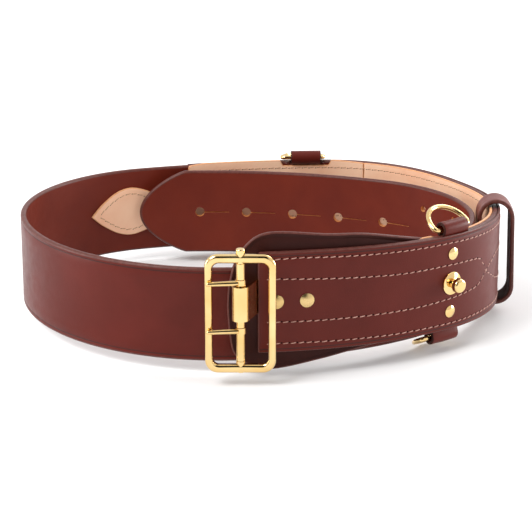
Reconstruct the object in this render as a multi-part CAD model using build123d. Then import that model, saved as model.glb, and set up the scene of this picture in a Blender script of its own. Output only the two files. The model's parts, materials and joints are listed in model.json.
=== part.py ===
from build123d import *
from math import atan2, cos, degrees, pi, radians, sin
import os

os.makedirs("parts", exist_ok=True)

# A leather duty belt, coiled and standing on its lower edge.
# +X runs along the front of the coil, +Y goes from the buckle to the back, +Z is up, z = 0 is the table.

# ---- driving dimensions, millimetres
ORIGIN = (0.68, -0.21)       # middle of the whole object, on the table
STRAP_HEIGHT = 36.0          # centre line of the plain strap above the table
STRAP_WIDTH = 57.0           # 2 1/4 inch strap
STRAP_THICK = 3.6
FACING_THICK = 1.4           # stitched outer layer
LINING_THICK = 1.6
SAFE_THICK = 2.4             # backing leather behind the buckle
FIT_GAP = 0.1               # radial clearance of turning parts
AIR_GAP = 0.3                # clearance between loose parts

# The route of the strap's outer face, as tangent arcs: (radius, turn in degrees).
ROUTE_START = (-4.5, -120.4)
ROUTE_HEADING = 5.0
LOOP_ARCS = [(224, 30), (92.5, 42.4), (131, 60), (90, 43.5), (440, 16.6), (98.7, 84.3), (127.7, 78.2)]
TAIL_ARCS = [(195, 42.5), (80, 67), (84, 46.5), (291, 33.5)]

# Stations along the route, measured from the buckle end.
SEAM_AT = 128.0              # where the outline changes from a front view to a side view
LEVEL_AT = 300.0             # the lined part is level from here on
LINING_START = 96.0
LINING_SEAM_AT = 363.0
SHOULDER_AT = 486.0          # square end of the stitched layers, at the back
LEAF_TIP_AT = 558.0
LEAF_WIDE_AT = 528.0
LEAF_NECK_AT = 500.0
LEAF_HALF_WIDTH = 16.0
LEAF_NECK_HALF_WIDTH = 8.0
FRONT_TOP_DEE_AT = 128.0
FRONT_BOTTOM_DEE_AT = 121.0  # the front chape is set aslant
BACK_DEES_AT = 404.5
LOOP_AT = 212.0

# Outline of the lined part where it rises towards the buckle.
BUCKLE_END_TOP = 40.2
BUCKLE_END_BOTTOM = -19.8
FRONT_TOP = 37.6
FRONT_BOTTOM = -20.9

# Keyholes and prong holes in the tongue.
TONGUE_TAPER = 30.0
HOLE_PITCH = 31.75
FIRST_KEYHOLE = 41.0         # from the tip
KEYHOLES = 5
PRONG_HOLES = 4
KEYHOLE_DIA = 6.4
SLIT_LENGTH = 16.5
SLIT_WIDTH = 0.8
PRONG_HOLE_DIA = 4.0
PRONG_SPREAD = 14.2          # prongs above and below the centre line

# Outline of the leather behind the buckle, in X and height, from its free end to the lining.
SAFE_UPPER = [(-22.4, 7), (-18, 34), (-3, 50), (9.6, 51.2), (36.5, 48.1), (60, 45.8), (96, 37.0)]
SAFE_LOWER = [(-22.4, 7), (-19, -21), (-11, -28.5), (3.5, -32.2), (32.5, -27.9), (60.6, -23.2), (96, -20.0)]

# Buckle.
FRAME_WIDTH = 40.6
FRAME_HEIGHT = 71.0
FRAME_SIDE = 4.4
FRAME_END = 5.2
FRAME_DEPTH = 4.6
FRAME_CORNER = 7.5
FRAME_ROUNDING = 2.0
FRAME_LEFT = -34.8
FRAME_BOTTOM = -27.6
BAR_X = -14.4
BAR_Y = -132.0
BAR_RADIUS = 2.6
BAR_NECK_RADIUS = 2.1
BAR_KNOB = 3.0
PRONG_THICK = 3.4            # height of a prong's eye
PRONG_UPPER = 26.8           # heights above the plain strap's centre line
PRONG_LOWER = -1.9
PRONG_EYE_RADIUS = 3.2
PRONG_NECK_RADIUS = 1.8      # the bar is turned down where the prongs' eyes sit
PRONG_ROOT_RADIUS = 1.6
PRONG_TIP_RADIUS = 1.25
HOOK_HEIGHT = 20.3
HOOK_BOTTOM = 4.4
HOOK_THICK = 2.4
TANG_LENGTH = 35.0
TANG_THICK = 1.0

# Dees and their leather chapes.
DEE_WIRE = 1.5
DEE_HALF_WIDTH = 14.0
DEE_ARM = 2.5
DEE_CORNER = 2.2
CHAPE_WIDTH = 20.4
CHAPE_THICK = 1.8
ROLL_RADIUS = 4.5
ROLL_BORE = 2.0
ROLL_RISE = 3.0              # roll axis beyond the belt's edge
LOW_ROLL_RISE = 4.4          # the front bottom roll hangs lower
ROLL_DEPTH = 4.0             # roll axis behind the route
DIP_WIDTH = 31.0             # the lining is cut low round each roll
DIP_DEPTH = 2.2

RIVET_DIA = 8.4
STATION_RIVET_DIA = 7.4
SHANK_DIA = 3.2
STUD_HEAD_RADIUS = 4.4
BURR_DIA = 8.0
BURR_SEAT = 0.2              # flat washers bear on the hollow inner face at their rims
BURR_THICK = 1.0
HOOK_RIVETS = [(10.4, 11.0), (28.1, 11.0)]          # station and height of each
FRONT_RIVETS = [(123.5, 26.3), (122.2, -9.5)]
BACK_RIVETS = [(BACK_DEES_AT, 14.0), (BACK_DEES_AT, -14.0)]
STUD_AT = (123.0, 8.1)
HALF = STRAP_WIDTH / 2
CHAPE_MIDDLE = -1.0          # the two halves of a chape meet this far past the belt's middle
# Each roll: station, belt edge, up or down, roll axis beyond the edge.
ROLLS = {
    "front_top": (FRONT_TOP_DEE_AT, FRONT_TOP, 1, ROLL_RISE),
    "front_bottom": (FRONT_BOTTOM_DEE_AT, FRONT_BOTTOM, -1, LOW_ROLL_RISE),
    "back_top": (BACK_DEES_AT, HALF, 1, ROLL_RISE),
    "back_bottom": (BACK_DEES_AT, -HALF, -1, ROLL_RISE),
}
# How each dee lies: angle above the inward horizontal, and how far it has slid along its roll.
DEE_LIES = {
    "front_top": (33, 0.0),
    "front_bottom": (-28, -1.8),
    "back_top": (188, 1.8),
    "back_bottom": (189, 0.0),
}

# Running loop, as radii from the centre of the right-hand arc and heights about its own plane.
LOOP_THICK = 2.6
LOOP_WIDTH = 20.0
LOOP_INSIDE = 121.6
LOOP_OUTSIDE = 142.0
LOOP_TOP = 34.0
LOOP_BOTTOM = -33.8
LOOP_HIGH = (205.0, 4.4)     # the belt's middle comes down between these stations and heights
LOOP_LOW = (295.0, 0.0)


# ---- the route
def trace(arcs):
    """Centre, radius, first heading, turn and first station of each arc."""
    x, y = ROUTE_START
    heading, station, traced = ROUTE_HEADING, 0.0, []
    for radius, turn in arcs:
        a, b = radians(heading), radians(heading + turn)
        cx, cy = x - radius * sin(a), y + radius * cos(a)
        traced.append((cx, cy, radius, heading, turn, station))
        x, y = cx + radius * sin(b), cy - radius * cos(b)
        heading += turn
        station += radius * radians(turn)
    return traced, station


ROUTE, ROUTE_LENGTH = trace(LOOP_ARCS + TAIL_ARCS)
LOOP_LENGTH = trace(LOOP_ARCS)[1]


def heading_at(station):
    """Arc under a station, and the heading there in degrees."""
    for arc in ROUTE:
        length = arc[2] * radians(arc[4])
        if station <= arc[5] + length + 1e-6:
            return arc, arc[3] + degrees((station - arc[5]) / arc[2])
    return ROUTE[-1], ROUTE[-1][3] + ROUTE[-1][4]


def point_at(station, depth=0.0):
    """Plan point at a station, depth millimetres inside the route."""
    (cx, cy, radius, *_), heading = heading_at(station)
    a = radians(heading)
    return cx + (radius - depth) * sin(a), cy - (radius - depth) * cos(a)


def plane_at(station, depth, height):
    """Plane facing out of the belt: x along the belt, y up, z outwards."""
    x, y = point_at(station, depth)
    a = radians(heading_at(station)[1])
    return Plane(origin=(x, y, height), x_dir=(cos(a), sin(a), 0), z_dir=(sin(a), -cos(a), 0))


def side_edges(start, end, depth):
    """Arcs of one face of a band between two stations."""
    edges = []
    for cx, cy, radius, heading, turn, first in ROUTE:
        low, high = max(start, first), min(end, first + radius * radians(turn))
        if high - low > 1e-6:
            stops = [low, (low + high) / 2, high]
            angles = [radians(heading) + (s - first) / radius for s in stops]
            r = radius - depth
            edges.append(ThreePointArc(*[(cx + r * sin(a), cy - r * cos(a)) for a in angles]))
    return edges


def band(start, end, outer, inner, bottom, top):
    """Strip of leather between two depths, as a vertical wall."""
    ends = [Line(point_at(start, outer), point_at(start, inner)),
            Line(point_at(end, outer), point_at(end, inner))]
    face = make_face(side_edges(start, end, outer) + side_edges(start, end, inner) + ends)
    return Pos(0, 0, bottom) * extrude(face, top - bottom)


# ---- outlines of the lined part
def front_outline(left, right):
    """Outline in X and Z of the lined part in front of the seam."""
    leave, arrive = left + 45, right - 40
    top = Bezier((left, BUCKLE_END_TOP), (leave, BUCKLE_END_TOP + 1), (arrive, FRONT_TOP), (right, FRONT_TOP))
    bottom = Bezier((left, BUCKLE_END_BOTTOM), (leave, BUCKLE_END_BOTTOM), (arrive, FRONT_BOTTOM),
                    (right, FRONT_BOTTOM))
    left_side = Line((left, BUCKLE_END_TOP), (left, BUCKLE_END_BOTTOM))
    right_side = Line((right, FRONT_TOP), (right, FRONT_BOTTOM))
    return make_face([top, bottom, left_side, right_side])


def side_outline(near, far):
    """Outline in Y and Z of the lined part as it comes down to the plain strap's level."""
    leave, arrive = near + 38, far - 35
    top = Bezier((near, FRONT_TOP), (leave, FRONT_TOP), (arrive, HALF), (far, HALF))
    bottom = Bezier((near, FRONT_BOTTOM), (leave, FRONT_BOTTOM), (arrive, -HALF), (far, -HALF))
    past = far + 40
    level = [Line((far, HALF), (past, HALF)), Line((far, -HALF), (past, -HALF))]
    ends = [Line((near, FRONT_TOP), (near, FRONT_BOTTOM)), Line((past, HALF), (past, -HALF))]
    return make_face([top, bottom] + level + ends)


def raised_band(start, end, outer, inner):
    """Strip of the lined part from the buckle to the level stretch."""
    pieces = []
    seam_x, seam_y = point_at(SEAM_AT)
    if start < SEAM_AT:
        wall = band(start, SEAM_AT, outer, inner, -60, 60)
        outline = Plane.XZ * front_outline(ROUTE_START[0] - 3, seam_x + 8)
        pieces.append(wall & extrude(outline, 200, both=True))
    if start < LEVEL_AT:
        wall = band(max(start, SEAM_AT), LEVEL_AT, outer, inner, -60, 60)
        outline = Plane.YZ * side_outline(seam_y - 8, point_at(LEVEL_AT)[1] - 8)
        pieces.append(wall & extrude(outline, 300, both=True))
    if end > LEVEL_AT:
        pieces.append(band(max(start, LEVEL_AT), end, outer, inner, -HALF, HALF))
    solid = pieces[0]
    for piece in pieces[1:]:
        solid = solid + piece
    return solid


def leaf(outer, inner):
    """Pointed end of a stitched layer that lies over the plain strap."""
    def s_arc(sign):
        wide, neck = LEAF_HALF_WIDTH * sign, LEAF_NECK_HALF_WIDTH * sign
        hollow = Spline((SHOULDER_AT - 2, neck * 1.5), (LEAF_NECK_AT, neck), (LEAF_WIDE_AT, wide),
                        tangents=((1, -0.9 * sign), (1, 0)))
        flank = Spline((LEAF_WIDE_AT, wide), (LEAF_TIP_AT - 10, wide * 0.5), (LEAF_TIP_AT, 0),
                       tangents=((1, 0), (0.75, -0.9 * sign)))
        return [hollow, flank]
    base = Line((SHOULDER_AT - 2, LEAF_NECK_HALF_WIDTH * 1.5), (SHOULDER_AT - 2, -LEAF_NECK_HALF_WIDTH * 1.5))
    flat = make_face(s_arc(1) + s_arc(-1) + [base])
    return wrapped(flat, SHOULDER_AT - 2, LEAF_TIP_AT, outer, inner)


def wrapped(flat, start, end, outer, inner):
    """Band from start to end, cut to a flat outline projected along the middle normal."""
    middle = (start + end) / 2
    plane = plane_at(middle, 0, 0)
    local = Pos(-middle, 0, 0) * flat
    wall = band(start, end, outer, inner, -60, 60)
    return wall & extrude(plane * local, 60, both=True)


def pin_through(station, height, radius, outer, inner):
    """Cylinder through the belt between two depths."""
    plane = plane_at(station, inner, height)
    return plane * extrude(Circle(radius), inner - outer)


# ---- leather
def drilled(solid, outer, inner):
    """Take the fastener holes out of a layer."""
    for station, height in HOOK_RIVETS + FRONT_RIVETS + BACK_RIVETS + [STUD_AT]:
        solid = solid - pin_through(station, height, SHANK_DIA / 2, outer - 1, inner + 1)
    return solid


def roll_axis(station, edge, side, rise):
    """Plane of a dee's roll: x inwards and z along the belt, at the roll's centre."""
    x, y = point_at(station, ROLL_DEPTH)
    a = radians(heading_at(station)[1])
    return Plane(origin=(x, y, edge + side * rise), x_dir=(-sin(a), cos(a), 0), z_dir=(cos(a), sin(a), 0))


def roll_space(place, radius, length):
    """Cylinder along a roll's axis; place is one of ROLLS."""
    return roll_axis(*place) * extrude(Circle(radius), length / 2, both=True)


def without_rolls(solid):
    """Take the room for the dees' rolls out of a layer."""
    for place in ROLLS.values():
        solid = solid - roll_space(place, ROLL_RADIUS, CHAPE_WIDTH + 1)
    return solid


def chape_strip(place, width, outer, inner, past):
    """The half of a chape on a dee's side of the belt's middle, past millimetres beyond the edge."""
    station, edge, side, _ = place
    low, high = sorted((CHAPE_MIDDLE * side, edge + side * past))
    return band(station - width / 2, station + width / 2, outer, inner, low, high)


def main_strap():
    """The long strap: lined part, plain part and the tongue with its holes, in one length."""
    tip = ROUTE_LENGTH - TONGUE_TAPER
    strap = raised_band(0, SHOULDER_AT, 0, STRAP_THICK)
    strap = strap + band(SHOULDER_AT, tip, 0, STRAP_THICK, -HALF, HALF)
    strap = strap + tongue_tip()
    strap = strap - band(0, TANG_LENGTH, 0, TANG_THICK, HOOK_BOTTOM, HOOK_BOTTOM + HOOK_HEIGHT)
    for place in ROLLS.values():
        strap = strap - chape_strip(place, CHAPE_WIDTH, STRAP_THICK - CHAPE_THICK, STRAP_THICK + 1, 9)
    strap = without_rolls(drilled(strap, 0, STRAP_THICK))
    for index in range(KEYHOLES + PRONG_HOLES):
        station = ROUTE_LENGTH - FIRST_KEYHOLE - index * HOLE_PITCH
        if index < KEYHOLES:
            strap = strap - keyhole(station)
        else:
            strap = strap - pin_through(station, PRONG_SPREAD, PRONG_HOLE_DIA / 2, -1, STRAP_THICK + 1)
            strap = strap - pin_through(station, -PRONG_SPREAD, PRONG_HOLE_DIA / 2, -1, STRAP_THICK + 1)
    return Pos(0, 0, STRAP_HEIGHT) * strap


def keyhole(station):
    """Round hole with a slit running away from the tip."""
    hole = pin_through(station, 0, KEYHOLE_DIA / 2, -1, STRAP_THICK + 1)
    slit_end = station - KEYHOLE_DIA / 2 - SLIT_LENGTH
    slit = band(slit_end, station, -1, STRAP_THICK + 1, -SLIT_WIDTH / 2, SLIT_WIDTH / 2)
    return hole + slit


def tongue_tip():
    """Blunt rounded point at the end of the strap."""
    start, end = ROUTE_LENGTH - TONGUE_TAPER - 1, ROUTE_LENGTH
    length = end - start
    edges = [Bezier((start, HALF * side), (start + length * 0.3, HALF * side * 0.9),
                    (end, HALF * side * 0.5), (end, 0)) for side in (1, -1)]
    flat = make_face(edges + [Line((start, HALF), (start, -HALF))])
    return wrapped(flat, start, end, 0, STRAP_THICK)


def belt_facing():
    """Stitched outer layer of the lined part, with its pointed end."""
    layer = raised_band(0, SHOULDER_AT, -FACING_THICK, 0) + leaf(-FACING_THICK, 0)
    layer = without_rolls(drilled(layer, -FACING_THICK, 0))
    return Pos(0, 0, STRAP_HEIGHT) * layer


def belt_lining(start, end):
    """One length of the tan inner layer, dipped round the dees' rolls."""
    outer, inner = STRAP_THICK, STRAP_THICK + LINING_THICK
    layer = raised_band(start, end, outer, inner)
    if end == SHOULDER_AT:
        layer = layer + leaf(outer, inner)
    layer = drilled(layer, outer, inner)
    for station, edge, side, _ in ROLLS.values():
        low, high = sorted((edge - side * DIP_DEPTH, edge + side * 12))
        near, far = station - DIP_WIDTH / 2, station + DIP_WIDTH / 2
        layer = layer - band(near, far, outer - 1, inner + 1, low, high)
    return Pos(0, 0, STRAP_HEIGHT) * layer


def buckle_safe():
    """Backing leather behind the buckle, wide at the bar and tapering into the belt."""
    start, end = -18.0, LINING_START - 0.2      # the free end reaches past the belt's end, behind the bar
    upper, lower = Spline(*SAFE_UPPER), Spline(*SAFE_LOWER)
    outline = make_face([upper, lower, Line(SAFE_UPPER[-1], SAFE_LOWER[-1])])
    outer, inner = STRAP_THICK, STRAP_THICK + SAFE_THICK
    wall = band(0, end, outer, inner, -60, 60) + lead_in(start, outer, inner)
    safe = wall & extrude(Plane.XZ * outline, 200, both=True)
    return Pos(0, 0, STRAP_HEIGHT) * drilled(safe, outer, inner)


def lead_in(start, outer, inner):
    """The first arc carried back past the buckle end, for the safe's free end."""
    cx, cy, radius, heading, *_ = ROUTE[0]
    first, last = radians(heading) + start / radius, radians(heading)
    sides = []
    for depth in (outer, inner):
        r = radius - depth
        sides.append([(cx + r * sin(a), cy - r * cos(a)) for a in (first, (first + last) / 2, last)])
    ends = [Line(sides[0][0], sides[1][0]), Line(sides[0][2], sides[1][2])]
    face = make_face([ThreePointArc(*sides[0]), ThreePointArc(*sides[1])] + ends)
    return Pos(0, 0, -60) * extrude(face, 120)


def dee_chape(*names):
    """One strip of leather that holds a dee at each edge of the belt."""
    outer = STRAP_THICK - CHAPE_THICK
    places = [ROLLS[name] for name in names]
    strip = chape_strip(places[0], CHAPE_WIDTH, outer, STRAP_THICK, places[0][3])
    strip = strip + chape_strip(places[1], CHAPE_WIDTH, outer, STRAP_THICK, places[1][3])
    for place in places:
        strip = strip - roll_space(place, ROLL_RADIUS - 0.05, CHAPE_WIDTH + 4)
        roll = roll_space(place, ROLL_RADIUS, CHAPE_WIDTH)
        strip = strip + (roll - roll_space(place, ROLL_BORE, CHAPE_WIDTH + 4))
    return Pos(0, 0, STRAP_HEIGHT) * drilled(strip, outer, STRAP_THICK)


# ---- fasteners
def domed_rivet(station, height, diameter, far_depth):
    """Domed head on the facing, with a shank down to the burr."""
    plane = plane_at(station, -FACING_THICK, height + STRAP_HEIGHT)
    dome_rise = diameter * 0.12
    ball = (diameter ** 2 / 4 + dome_rise ** 2) / (2 * dome_rise)
    head = Pos(0, 0, dome_rise - ball) * Sphere(ball) & Pos(0, 0, 5) * Box(20, 20, 10)
    rim = extrude(Circle(diameter / 2), 0.4)
    shank = Pos(0, 0, -(far_depth + FACING_THICK)) * extrude(Circle(SHANK_DIA / 2), far_depth + FACING_THICK)
    return plane * (Pos(0, 0, 0.4) * head + rim + shank)


def rivet_burr(station, height, depth):
    """Washer that the shank is closed over, on the inner face."""
    plane = plane_at(station, depth + BURR_SEAT + BURR_THICK, height + STRAP_HEIGHT)
    ring = extrude(Circle(BURR_DIA / 2) - Circle(SHANK_DIA / 2), BURR_THICK)
    return plane * ring


def belt_stud():
    """Button stud at the front station: base disc, neck and domed cap."""
    plane = plane_at(STUD_AT[0], -FACING_THICK, STUD_AT[1] + STRAP_HEIGHT)
    base = Pos(0, 0, 0.3) * Cylinder(7.0, 0.6) + Pos(0, 0, 1.2) * Cone(6.6, 2.8, 1.2)
    neck = Pos(0, 0, 2.7) * Cylinder(2.2, 4.0)
    cap = Pos(0, 0, 6.4) * Cylinder(STUD_HEAD_RADIUS, 4.6)      # its underside is 4.1 above the facing
    cap = fillet(cap.edges().group_by(Axis.Z)[-1], 1.8)
    cap = chamfer(cap.edges().group_by(Axis.Z)[0], 0.8)
    bore = extrude(Circle(SHANK_DIA / 2), 3.0)
    return plane * (base + neck + cap - bore)


def stud_screw(depth):
    """Flat screw from inside that holds the belt stud."""
    plane = plane_at(STUD_AT[0], depth + BURR_SEAT, STUD_AT[1] + STRAP_HEIGHT)
    reach = depth + BURR_SEAT + FACING_THICK + 2.8
    head = Pos(0, 0, -1.2) * extrude(Circle(5.5), 1.2)
    slot = Pos(0, 0, -1.2) * Box(12, 1.2, 1.2)
    return plane * (head - slot + extrude(Circle(SHANK_DIA / 2), reach))


# ---- hook, bar and buckle
def hook_plate():
    """Plate between the layers whose front end is curled round the bar."""
    low = STRAP_HEIGHT + HOOK_BOTTOM
    tang = band(0, TANG_LENGTH, 0, TANG_THICK, low, low + HOOK_HEIGHT)
    for station, height in HOOK_RIVETS:
        tang = tang - pin_through(station, height + STRAP_HEIGHT, SHANK_DIA / 2, -1, TANG_THICK + 1)
    inner = BAR_RADIUS + FIT_GAP
    outer = inner + HOOK_THICK
    ring = Circle(outer) - Circle(inner)
    lead = HOOK_LEAD
    half_ring = ring & (Rot(0, 0, lead + 180) * Pos(0, outer, 0) * Rectangle(4 * outer, 2 * outer))
    half_ring = Pos(BAR_X, BAR_Y) * half_ring
    a = radians(lead)
    near = [(BAR_X + r * cos(a), BAR_Y + r * sin(a)) for r in (inner, outer)]
    x0, y0 = point_at(0, TANG_THICK)
    x1, y1 = point_at(0, 0)
    overlap = 0.5                # of the ramp and the tang, along the belt
    tang_end = [point_at(overlap, TANG_THICK), point_at(overlap, 0)]
    ramp = make_face(Polyline(near[0], (x0, y0), *tang_end, (x1, y1), near[1], near[0]))
    profile = extrude(half_ring, HOOK_HEIGHT) + extrude(ramp, HOOK_HEIGHT)
    return tang + Pos(0, 0, low) * profile


def hook_lead():
    """Direction from the bar to where the ramp leaves the hook, in degrees."""
    x, y = point_at(0, TANG_THICK / 2)
    dx, dy = x - BAR_X, y - BAR_Y
    reach = (dx * dx + dy * dy) ** 0.5
    middle = BAR_RADIUS + FIT_GAP + HOOK_THICK / 2
    return degrees(atan2(dy, dx)) - degrees(acos_of(middle / reach))


def acos_of(value):
    """Angle whose cosine is value, in radians."""
    return atan2((1 - value * value) ** 0.5, value)


HOOK_LEAD = hook_lead()


def centre_bar():
    """Bar through the buckle frame, with a knob on top and a neck at the bottom."""
    bottom = STRAP_HEIGHT + FRAME_BOTTOM
    top = bottom + FRAME_HEIGHT
    bar_length = FRAME_HEIGHT - FRAME_END * 2 - 2.4
    bar = Pos(BAR_X, BAR_Y, bottom + FRAME_END + 2.2) * extrude(Circle(BAR_RADIUS), bar_length)
    neck_length = FRAME_END + 2.5
    neck = Pos(BAR_X, BAR_Y, bottom + 0.3) * extrude(Circle(BAR_NECK_RADIUS), neck_length)
    upper_neck = Pos(BAR_X, BAR_Y, top + 0.6 - neck_length) * extrude(Circle(BAR_NECK_RADIUS), neck_length)
    collar = Pos(BAR_X, BAR_Y, bottom + FRAME_END + AIR_GAP) * extrude(Circle(BAR_RADIUS + 0.1), 1.6)
    knob = Pos(BAR_X, BAR_Y, top + AIR_GAP) * extrude(Circle(BAR_RADIUS), BAR_KNOB)
    for height in (PRONG_UPPER, PRONG_LOWER):
        groove = extrude(Circle(BAR_RADIUS + 1) - Circle(PRONG_NECK_RADIUS), PRONG_THICK / 2 + 0.2, both=True)
        bar = bar - Pos(BAR_X, BAR_Y, STRAP_HEIGHT + height) * groove
    return bar + neck + upper_neck + collar + fillet(knob.edges().group_by(Axis.Z)[-1], 0.8)


def buckle_frame():
    """Rectangular frame with rounded section, drilled at both ends for the bar."""
    centre_x = FRAME_LEFT + FRAME_WIDTH / 2
    bottom = STRAP_HEIGHT + FRAME_BOTTOM
    outside = RectangleRounded(FRAME_WIDTH, FRAME_HEIGHT, FRAME_CORNER)
    window = RectangleRounded(FRAME_WIDTH - 2 * FRAME_SIDE, FRAME_HEIGHT - 2 * FRAME_END, FRAME_CORNER - 3.6)
    flat = extrude(outside - window, FRAME_DEPTH / 2, both=True)
    rounded = fillet(flat.edges().filter_by(GeomType.LINE).filter_by(Axis.Z, reverse=True), FRAME_ROUNDING)
    middle = (centre_x, BAR_Y, bottom + FRAME_HEIGHT / 2)
    frame = Plane(origin=middle, x_dir=(1, 0, 0), z_dir=(0, -1, 0)) * rounded
    bore = Pos(BAR_X, BAR_Y, bottom - 1) * extrude(Circle(BAR_NECK_RADIUS + FIT_GAP), FRAME_HEIGHT + 2)
    return frame - bore


def prong(height):
    """Round tapered prong with its eye round the bar and its tip in front of the frame's left side."""
    bore = Circle(PRONG_NECK_RADIUS + FIT_GAP)
    eye = extrude(Circle(PRONG_EYE_RADIUS) - bore, PRONG_THICK / 2, both=True)
    root = Vector(-1.4, -2.0, 0)
    tip = Vector(FRAME_LEFT + 2.1 - BAR_X, -FRAME_DEPTH / 2 - AIR_GAP - PRONG_TIP_RADIUS - 0.3, 0)
    length = (tip - root).length
    shaft = Cone(PRONG_ROOT_RADIUS, PRONG_TIP_RADIUS, length, align=(Align.CENTER, Align.CENTER, Align.MIN))
    shaft = shaft + Pos(0, 0, length) * Sphere(PRONG_TIP_RADIUS)
    arm = Plane(origin=root, z_dir=tip - root) * shaft - extrude(bore, PRONG_THICK, both=True)
    return Pos(BAR_X, BAR_Y, STRAP_HEIGHT + height) * (eye + arm)


# ---- dees and running loop
def dee(roll, lean, slid):
    """Wire dee about its roll's axis."""
    arm, half, corner = DEE_ARM, DEE_HALF_WIDTH, DEE_CORNER
    near, mid = half - corner, corner * (1 - cos(pi / 4))
    wire = Wire([
        Line((-near, 0), (near, 0)),
        ThreePointArc((near, 0), (half - mid, mid), (half, corner)),
        Line((half, corner), (half, arm)),
        ThreePointArc((half, arm), (0, arm + half), (-half, arm)),
        Line((-half, arm), (-half, corner)),
        ThreePointArc((-half, corner), (-half + mid, mid), (-near, 0))])
    ring = sweep(Plane(origin=(-near, 0, 0), z_dir=(1, 0, 0)) * Circle(DEE_WIRE), path=wire)
    axis = roll_axis(*roll)
    a = radians(lean)
    inward, up = axis.x_dir, Vector(0, 0, 1)
    reach = inward * cos(a) + up * sin(a)
    along = axis.z_dir
    middle = axis.origin + along * slid + Vector(0, 0, STRAP_HEIGHT)
    return Plane(origin=middle, x_dir=along, z_dir=along.cross(reach)) * ring


def loop_plane():
    """Plane the running loop travels in, tilted to follow the belt's middle as it comes down."""
    cx, cy = ROUTE[2][:2]
    (x0, y0), (x1, y1) = point_at(LOOP_HIGH[0]), point_at(LOOP_LOW[0])
    run = (x1 - x0) ** 2 + (y1 - y0) ** 2
    drop = LOOP_LOW[1] - LOOP_HIGH[1]
    slope_x, slope_y = drop * (x1 - x0) / run, drop * (y1 - y0) / run
    middle = LOOP_HIGH[1] + slope_x * (cx - x0) + slope_y * (cy - y0)
    return Plane(origin=(cx, cy, STRAP_HEIGHT + middle), x_dir=(1, 0, slope_x), z_dir=(-slope_x, -slope_y, 1))


def running_loop():
    """Loose leather keeper round the lined part, turned about the centre of the coil's right side."""
    inner, outer = LOOP_INSIDE - LOOP_THICK, LOOP_OUTSIDE
    middle = (inner + outer) / 2
    outline = make_face([
        ThreePointArc((inner, LOOP_TOP - 13), (middle, LOOP_TOP), (outer, LOOP_TOP - 13)),
        Line((outer, LOOP_TOP - 13), (outer - 1.5, LOOP_BOTTOM + 11)),
        ThreePointArc((outer - 1.5, LOOP_BOTTOM + 11), (middle, LOOP_BOTTOM), (inner, LOOP_BOTTOM + 10)),
        Line((inner, LOOP_BOTTOM + 10), (inner, LOOP_TOP - 13))])
    section = outline - offset(outline, -LOOP_THICK)
    _, _, radius, heading, _, first = ROUTE[2]
    ring = revolve(Plane.XZ * section, Axis.Z, revolution_arc=degrees(LOOP_WIDTH / radius))
    start = heading + degrees((LOOP_AT - LOOP_WIDTH / 2 - first) / radius) - 90
    return loop_plane() * Rot(0, 0, start) * ring


def all_parts():
    """Every node with its solids."""
    safe_face = STRAP_THICK + SAFE_THICK
    lining_face = STRAP_THICK + LINING_THICK
    parts = {
        "main_strap": main_strap(),
        "belt_facing": belt_facing(),
        "lining_front": belt_lining(LINING_START, LINING_SEAM_AT),
        "lining_back": belt_lining(LINING_SEAM_AT, SHOULDER_AT),
        "buckle_safe": buckle_safe(),
        "front_dee_chape": dee_chape("front_top", "front_bottom"),
        "back_dee_chape": dee_chape("back_top", "back_bottom"),
        "hook_plate": hook_plate(),
        "hook_rivets": [domed_rivet(*at, RIVET_DIA, safe_face) for at in HOOK_RIVETS],
        "hook_rivet_burrs": [rivet_burr(*at, safe_face) for at in HOOK_RIVETS],
        "belt_stud": belt_stud(),
        "stud_screw": stud_screw(lining_face),
        "centre_bar": centre_bar(),
        "buckle_frame": buckle_frame(),
        "prong_upper": prong(PRONG_UPPER),
        "prong_lower": prong(PRONG_LOWER),
        "running_loop": running_loop(),
    }
    for name, rivets in (("front", FRONT_RIVETS), ("back", BACK_RIVETS)):
        parts[name + "_dee_rivets"] = [domed_rivet(*at, STATION_RIVET_DIA, lining_face) for at in rivets]
        parts[name + "_dee_burrs"] = [rivet_burr(*at, lining_face) for at in rivets]
    for name, roll in ROLLS.items():
        parts["dee_" + name] = dee(roll, *DEE_LIES[name])
    return parts


for node, shape in all_parts().items():
    pieces = shape if isinstance(shape, list) else [shape]
    placed = [Pos(-ORIGIN[0], -ORIGIN[1], 0) * piece for piece in pieces]
    export_step(Compound(children=placed) if len(placed) > 1 else placed[0], "parts/" + node + ".step")
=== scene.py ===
import json
from math import atan2, cos, pi, radians, sin, sqrt
import bmesh
import bpy
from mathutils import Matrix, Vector
from mathutils.bvhtree import BVHTree
from mathutils.interpolate import poly_3d_calc

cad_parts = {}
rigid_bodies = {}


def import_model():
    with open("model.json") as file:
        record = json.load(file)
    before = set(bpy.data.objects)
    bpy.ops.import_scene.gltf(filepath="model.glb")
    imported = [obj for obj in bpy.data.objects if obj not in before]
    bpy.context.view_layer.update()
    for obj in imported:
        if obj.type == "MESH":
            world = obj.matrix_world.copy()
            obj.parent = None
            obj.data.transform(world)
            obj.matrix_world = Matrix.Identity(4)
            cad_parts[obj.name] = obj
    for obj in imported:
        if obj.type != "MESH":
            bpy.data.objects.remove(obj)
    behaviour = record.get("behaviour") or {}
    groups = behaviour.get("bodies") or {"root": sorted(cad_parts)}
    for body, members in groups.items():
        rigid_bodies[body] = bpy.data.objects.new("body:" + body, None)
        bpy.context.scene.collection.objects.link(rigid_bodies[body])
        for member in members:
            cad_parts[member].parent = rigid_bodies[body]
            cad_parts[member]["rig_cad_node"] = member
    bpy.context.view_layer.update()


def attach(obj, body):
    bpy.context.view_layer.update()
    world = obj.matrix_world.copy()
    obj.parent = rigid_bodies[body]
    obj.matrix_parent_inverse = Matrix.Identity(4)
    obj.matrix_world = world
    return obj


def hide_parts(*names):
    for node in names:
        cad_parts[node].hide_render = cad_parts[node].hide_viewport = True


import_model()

# A coiled leather duty belt. Sizes of the belt are millimetres, turned to metres in place().
MM = 0.001
ORIGIN = (0.68, -0.21)
STRAP_MID = 36.0

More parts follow.
